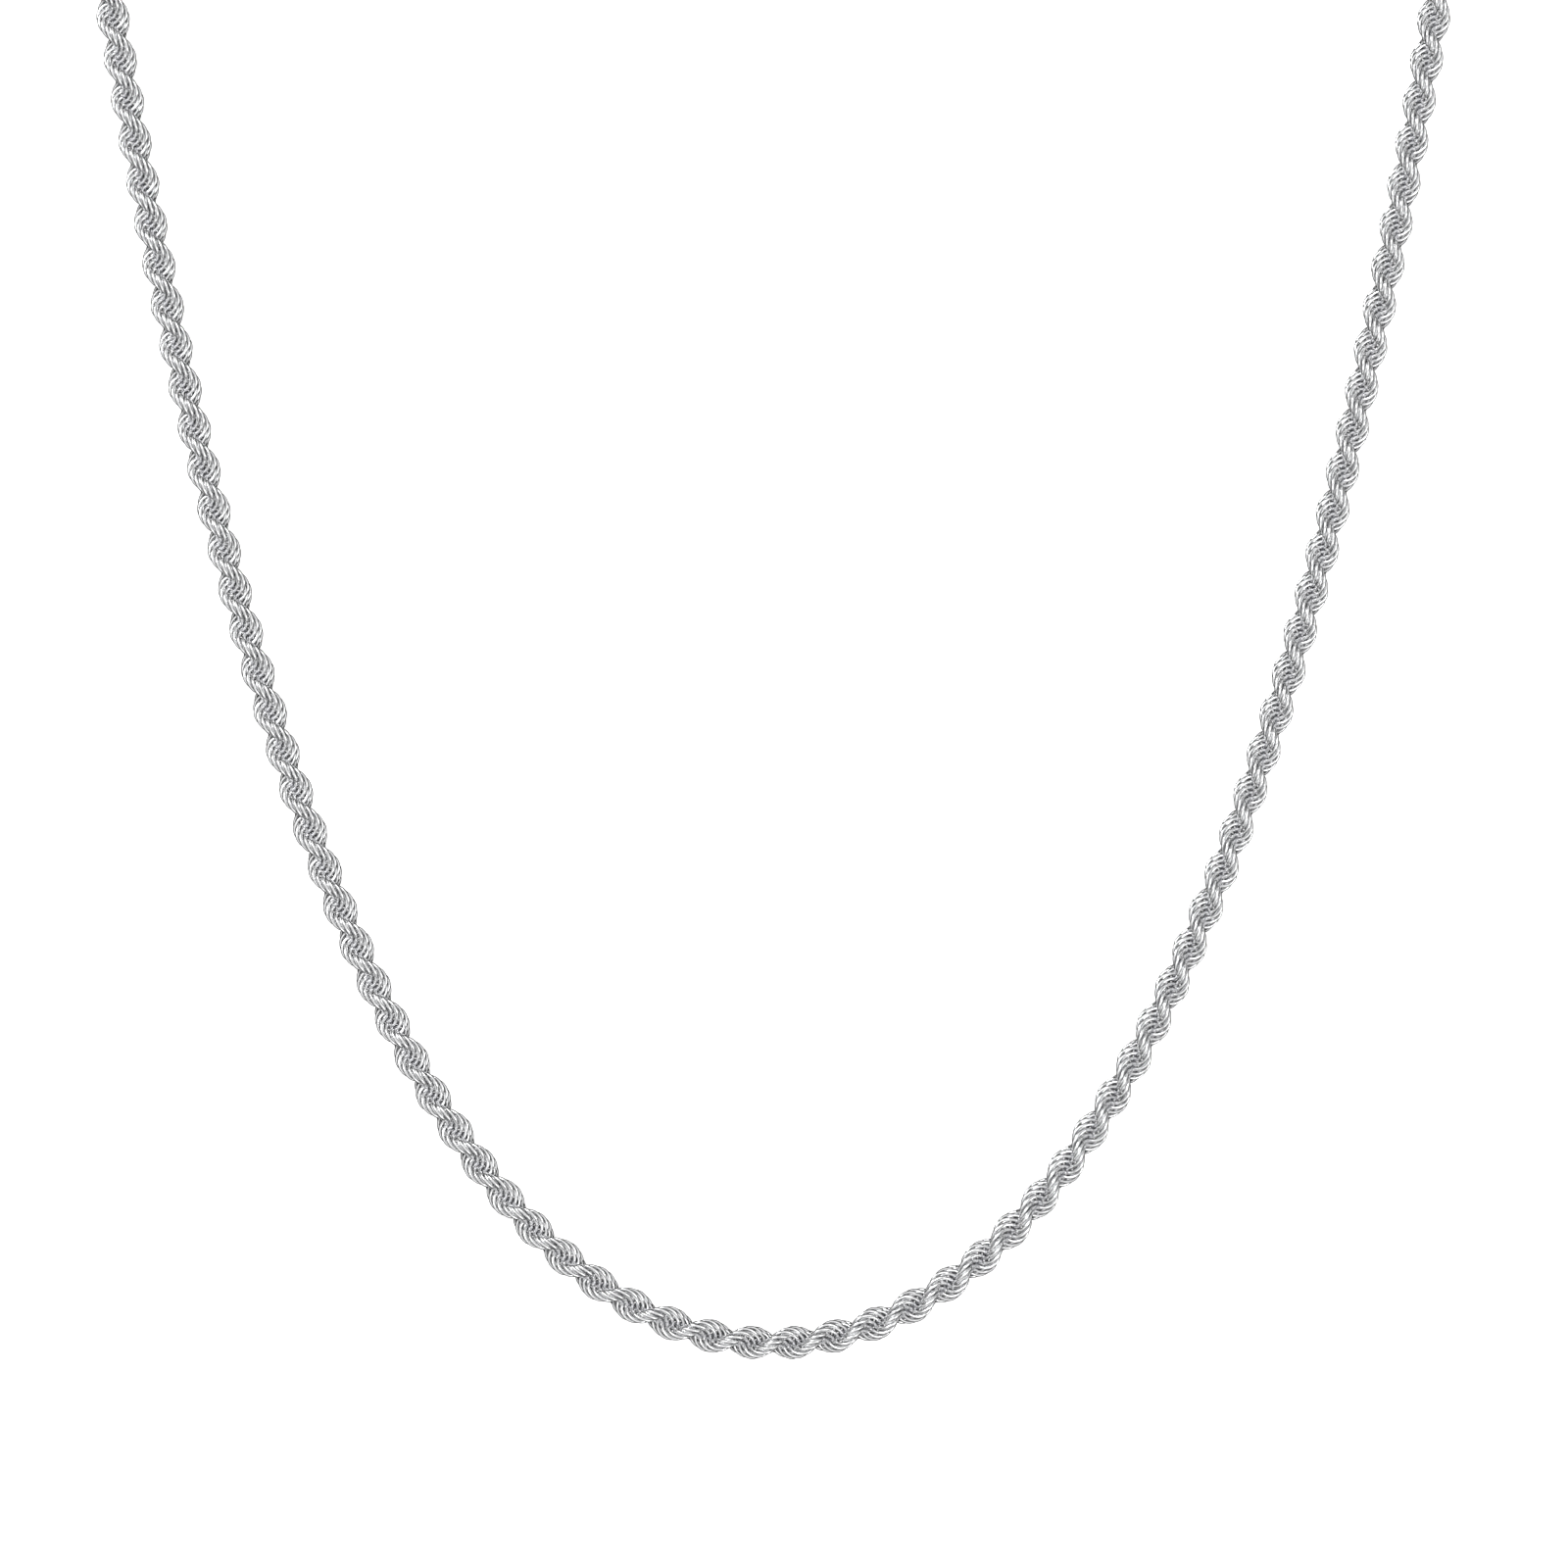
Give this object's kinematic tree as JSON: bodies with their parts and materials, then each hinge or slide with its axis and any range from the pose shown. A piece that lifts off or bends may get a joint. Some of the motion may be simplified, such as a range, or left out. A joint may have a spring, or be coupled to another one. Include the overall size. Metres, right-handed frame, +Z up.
{
  "type": "chain necklace",
  "caption": "Fine twisted rope-chain necklace in polished silver, laid flat and unfastened in an open U, with a sprung hook clasp at one end and a ring at the other.",
  "frame": {"origin": "middle of the footprint, on the table that the necklace lies on", "axes": "+Y from the front of the chain to its two ends, +Z up off the table, +X towards the clasp end"},
  "size_m": [0.1418, 0.2078, 0.0029],
  "materials": {
    "polished_silver": "polished",
    "spring_steel": "satin"
  },
  "bodies": {
    "rope_front_centre": {"rope_front_centre": "polished_silver"},
    "rope_right_01": {"rope_right_01": "polished_silver"},
    "rope_left_01": {"rope_left_01": "polished_silver"},
    "rope_right_02": {"rope_right_02": "polished_silver"},
    "rope_left_02": {"rope_left_02": "polished_silver"},
    "rope_right_03": {"rope_right_03": "polished_silver"},
    "rope_left_03": {"rope_left_03": "polished_silver"},
    "rope_right_04": {"rope_right_04": "polished_silver"},
    "rope_left_04": {"rope_left_04": "polished_silver"},
    "rope_right_05": {"rope_right_05": "polished_silver"},
    "rope_left_05": {"rope_left_05": "polished_silver"},
    "rope_right_06": {"rope_right_06": "polished_silver"},
    "rope_left_06": {"rope_left_06": "polished_silver"},
    "rope_right_07": {"rope_right_07": "polished_silver"},
    "rope_left_07": {"rope_left_07": "polished_silver"},
    "rope_right_08": {"rope_right_08": "polished_silver"},
    "rope_left_08": {"rope_left_08": "polished_silver"},
    "rope_right_09": {"rope_right_09": "polished_silver"},
    "rope_left_09": {"rope_left_09": "polished_silver"},
    "rope_right_10": {"rope_right_10": "polished_silver"},
    "rope_left_10": {"rope_left_10": "polished_silver"},
    "rope_right_11": {"rope_right_11": "polished_silver"},
    "rope_left_11": {"rope_left_11": "polished_silver"},
    "rope_right_12": {"rope_right_12": "polished_silver"},
    "rope_left_12": {"rope_left_12": "polished_silver"},
    "rope_right_13": {"rope_right_13": "polished_silver"},
    "rope_left_13": {"rope_left_13": "polished_silver"},
    "rope_right_14": {"rope_right_14": "polished_silver"},
    "rope_left_14": {"rope_left_14": "polished_silver"},
    "rope_right_15": {"rope_right_15": "polished_silver"},
    "rope_left_15": {"rope_left_15": "polished_silver"},
    "rope_right_16": {"rope_right_16": "polished_silver"},
    "rope_left_16": {"rope_left_16": "polished_silver"},
    "rope_right_17": {"rope_right_17": "polished_silver"},
    "rope_left_17": {"rope_left_17": "polished_silver"},
    "rope_right_18": {"rope_right_18": "polished_silver"},
    "rope_left_18": {"rope_left_18": "polished_silver"},
    "rope_right_19": {"rope_right_19": "polished_silver", "end_cap_clasp_side": "polished_silver"},
    "rope_left_19": {"rope_left_19": "polished_silver", "end_cap_ring_side": "polished_silver"},
    "jump_ring": {"jump_ring": "polished_silver"},
    "clasp": {"clasp_body": "polished_silver", "clasp_pin": "polished_silver", "clasp_spring": "spring_steel"},
    "clasp_lever": {"clasp_lever": "polished_silver"},
    "end_ring": {"end_ring": "polished_silver"}
  },
  "joints": [
    {"name": "clasp_lever_open", "type": "hinge", "parent": "clasp", "child": "clasp_lever", "pos_m": [0.06881, 0.0974, 0.00145], "axis": [0, 0, 1], "range_deg": [0, 20], "stiffness_Nm_per_rad": 0.00005, "springref_deg": -8.59, "deforming": ["clasp_spring"]},
    {"name": "clasp_swing", "type": "hinge", "parent": "jump_ring", "child": "clasp", "pos_m": [0.06725, 0.09326, 0.00145], "axis": [0, 0, 1], "range_deg": [-35, 35]},
    {"name": "clasp_jump_ring_swing", "type": "hinge", "parent": "rope_right_19", "child": "jump_ring", "pos_m": [0.06701, 0.09103, 0.00145], "axis": [0, 0, 1], "range_deg": [-35, 35]},
    {"name": "end_ring_lift", "type": "hinge", "parent": "rope_left_19", "child": "end_ring", "pos_m": [-0.06814, 0.09095, 0.00145], "axis": [0.9941, 0.1085, 0], "range_deg": [0, 70]},
    {"name": "rope_right_01_bend", "type": "hinge", "parent": "rope_front_centre", "child": "rope_right_01", "pos_m": [0.0048, -0.10187, 0.00145], "axis": [0, 0, -1], "range_deg": [-9.84, 60.16]},
    {"name": "rope_right_02_bend", "type": "hinge", "parent": "rope_right_01", "child": "rope_right_02", "pos_m": [0.01456, -0.09735, 0.00145], "axis": [0, 0, -1], "range_deg": [-16.95, 53.05]},
    {"name": "rope_right_03_bend", "type": "hinge", "parent": "rope_right_02", "child": "rope_right_03", "pos_m": [0.02247, -0.09, 0.00145], "axis": [0, 0, 1], "range_deg": [-46.43, 23.57]},
    {"name": "rope_right_04_raise", "type": "hinge", "parent": "rope_right_03", "child": "rope_right_04", "pos_m": [0.02876, -0.08119, 0.00145], "axis": [0.8543, -0.5197, 0], "range_deg": [0, 30]},
    {"name": "rope_right_05_bend", "type": "hinge", "parent": "rope_right_04", "child": "rope_right_05", "pos_m": [0.03386, -0.07165, 0.00145], "axis": [0, 0, 1], "range_deg": [-39.96, 30.04]},
    {"name": "rope_right_06_bend", "type": "hinge", "parent": "rope_right_05", "child": "rope_right_06", "pos_m": [0.03812, -0.06169, 0.00145], "axis": [0, 0, -1], "range_deg": [-31.47, 38.53]},
    {"name": "rope_right_07_bend", "type": "hinge", "parent": "rope_right_06", "child": "rope_right_07", "pos_m": [0.04174, -0.05149, 0.00145], "axis": [0, 0, -1], "range_deg": [-32.38, 37.62]},
    {"name": "rope_right_08_raise", "type": "hinge", "parent": "rope_right_07", "child": "rope_right_08", "pos_m": [0.0449, -0.04113, 0.00145], "axis": [0.962, -0.2731, 0], "range_deg": [0, 30]},
    {"name": "rope_right_09_bend", "type": "hinge", "parent": "rope_right_08", "child": "rope_right_09", "pos_m": [0.04769, -0.03066, 0.00145], "axis": [0, 0, 1], "range_deg": [-36.59, 33.41]},
    {"name": "rope_right_10_bend", "type": "hinge", "parent": "rope_right_09", "child": "rope_right_10", "pos_m": [0.05018, -0.02012, 0.00145], "axis": [0, 0, 1], "range_deg": [-36.29, 33.71]},
    {"name": "rope_right_11_bend", "type": "hinge", "parent": "rope_right_10", "child": "rope_right_11", "pos_m": [0.05244, -0.00953, 0.00145], "axis": [0, 0, -1], "range_deg": [-33.93, 36.07]},
    {"name": "rope_right_12_raise", "type": "hinge", "parent": "rope_right_11", "child": "rope_right_12", "pos_m": [0.0545, 0.0011, 0.00145], "axis": [0.9833, -0.1821, 0], "range_deg": [0, 30]},
    {"name": "rope_right_13_bend", "type": "hinge", "parent": "rope_right_12", "child": "rope_right_13", "pos_m": [0.05639, 0.01176, 0.00145], "axis": [0, 0, -1], "range_deg": [-34.24, 35.76]},
    {"name": "rope_right_14_bend", "type": "hinge", "parent": "rope_right_13", "child": "rope_right_14", "pos_m": [0.05815, 0.02245, 0.00145], "axis": [0, 0, 1], "range_deg": [-35.65, 34.35]},
    {"name": "rope_right_15_bend", "type": "hinge", "parent": "rope_right_14", "child": "rope_right_15", "pos_m": [0.05977, 0.03316, 0.00145], "axis": [0, 0, 1], "range_deg": [-35.57, 34.43]},
    {"name": "rope_right_16_raise", "type": "hinge", "parent": "rope_right_15", "child": "rope_right_16", "pos_m": [0.0613, 0.04388, 0.00145], "axis": [0.9907, -0.1361, 0], "range_deg": [0, 30]},
    {"name": "rope_right_17_bend", "type": "hinge", "parent": "rope_right_16", "child": "rope_right_17", "pos_m": [0.06273, 0.05461, 0.00145], "axis": [0, 0, -1], "range_deg": [-34.56, 35.44]},
    {"name": "rope_right_18_bend", "type": "hinge", "parent": "rope_right_17", "child": "rope_right_18", "pos_m": [0.06407, 0.06536, 0.00145], "axis": [0, 0, -1], "range_deg": [-34.61, 35.39]},
    {"name": "rope_right_19_bend", "type": "hinge", "parent": "rope_right_18", "child": "rope_right_19", "pos_m": [0.06535, 0.07612, 0.00145], "axis": [0, 0, 1], "range_deg": [-35.35, 34.65]},
    {"name": "rope_left_01_bend", "type": "hinge", "parent": "rope_front_centre", "child": "rope_left_01", "pos_m": [-0.00594, -0.10187, 0.00145], "axis": [0, 0, 1], "range_deg": [-9.84, 60.16]},
    {"name": "rope_left_02_bend", "type": "hinge", "parent": "rope_left_01", "child": "rope_left_02", "pos_m": [-0.0157, -0.09735, 0.00145], "axis": [0, 0, 1], "range_deg": [-16.95, 53.05]},
    {"name": "rope_left_03_bend", "type": "hinge", "parent": "rope_left_02", "child": "rope_left_03", "pos_m": [-0.02361, -0.09, 0.00145], "axis": [0, 0, -1], "range_deg": [-46.43, 23.57]},
    {"name": "rope_left_04_raise", "type": "hinge", "parent": "rope_left_03", "child": "rope_left_04", "pos_m": [-0.0299, -0.08119, 0.00145], "axis": [0.8543, 0.5197, 0], "range_deg": [0, 30]},
    {"name": "rope_left_05_bend", "type": "hinge", "parent": "rope_left_04", "child": "rope_left_05", "pos_m": [-0.035, -0.07165, 0.00145], "axis": [0, 0, -1], "range_deg": [-39.96, 30.04]},
    {"name": "rope_left_06_bend", "type": "hinge", "parent": "rope_left_05", "child": "rope_left_06", "pos_m": [-0.03926, -0.06169, 0.00145], "axis": [0, 0, 1], "range_deg": [-31.47, 38.53]},
    {"name": "rope_left_07_bend", "type": "hinge", "parent": "rope_left_06", "child": "rope_left_07", "pos_m": [-0.04288, -0.05149, 0.00145], "axis": [0, 0, 1], "range_deg": [-32.38, 37.62]},
    {"name": "rope_left_08_raise", "type": "hinge", "parent": "rope_left_07", "child": "rope_left_08", "pos_m": [-0.04604, -0.04113, 0.00145], "axis": [0.962, 0.2731, 0], "range_deg": [0, 30]},
    {"name": "rope_left_09_bend", "type": "hinge", "parent": "rope_left_08", "child": "rope_left_09", "pos_m": [-0.04883, -0.03066, 0.00145], "axis": [0, 0, -1], "range_deg": [-36.59, 33.41]},
    {"name": "rope_left_10_bend", "type": "hinge", "parent": "rope_left_09", "child": "rope_left_10", "pos_m": [-0.05132, -0.02012, 0.00145], "axis": [0, 0, -1], "range_deg": [-36.29, 33.71]},
    {"name": "rope_left_11_bend", "type": "hinge", "parent": "rope_left_10", "child": "rope_left_11", "pos_m": [-0.05358, -0.00953, 0.00145], "axis": [0, 0, 1], "range_deg": [-33.93, 36.07]},
    {"name": "rope_left_12_raise", "type": "hinge", "parent": "rope_left_11", "child": "rope_left_12", "pos_m": [-0.05564, 0.0011, 0.00145], "axis": [0.9833, 0.1821, 0], "range_deg": [0, 30]},
    {"name": "rope_left_13_bend", "type": "hinge", "parent": "rope_left_12", "child": "rope_left_13", "pos_m": [-0.05753, 0.01176, 0.00145], "axis": [0, 0, 1], "range_deg": [-34.24, 35.76]},
    {"name": "rope_left_14_bend", "type": "hinge", "parent": "rope_left_13", "child": "rope_left_14", "pos_m": [-0.05929, 0.02245, 0.00145], "axis": [0, 0, -1], "range_deg": [-35.65, 34.35]},
    {"name": "rope_left_15_bend", "type": "hinge", "parent": "rope_left_14", "child": "rope_left_15", "pos_m": [-0.06091, 0.03316, 0.00145], "axis": [0, 0, -1], "range_deg": [-35.57, 34.43]},
    {"name": "rope_left_16_raise", "type": "hinge", "parent": "rope_left_15", "child": "rope_left_16", "pos_m": [-0.06244, 0.04388, 0.00145], "axis": [0.9907, 0.1361, 0], "range_deg": [0, 30]},
    {"name": "rope_left_17_bend", "type": "hinge", "parent": "rope_left_16", "child": "rope_left_17", "pos_m": [-0.06387, 0.05461, 0.00145], "axis": [0, 0, 1], "range_deg": [-34.56, 35.44]},
    {"name": "rope_left_18_bend", "type": "hinge", "parent": "rope_left_17", "child": "rope_left_18", "pos_m": [-0.06521, 0.06536, 0.00145], "axis": [0, 0, 1], "range_deg": [-34.61, 35.39]},
    {"name": "rope_left_19_bend", "type": "hinge", "parent": "rope_left_18", "child": "rope_left_19", "pos_m": [-0.06649, 0.07612, 0.00145], "axis": [0, 0, -1], "range_deg": [-35.35, 34.65]}
  ]
}
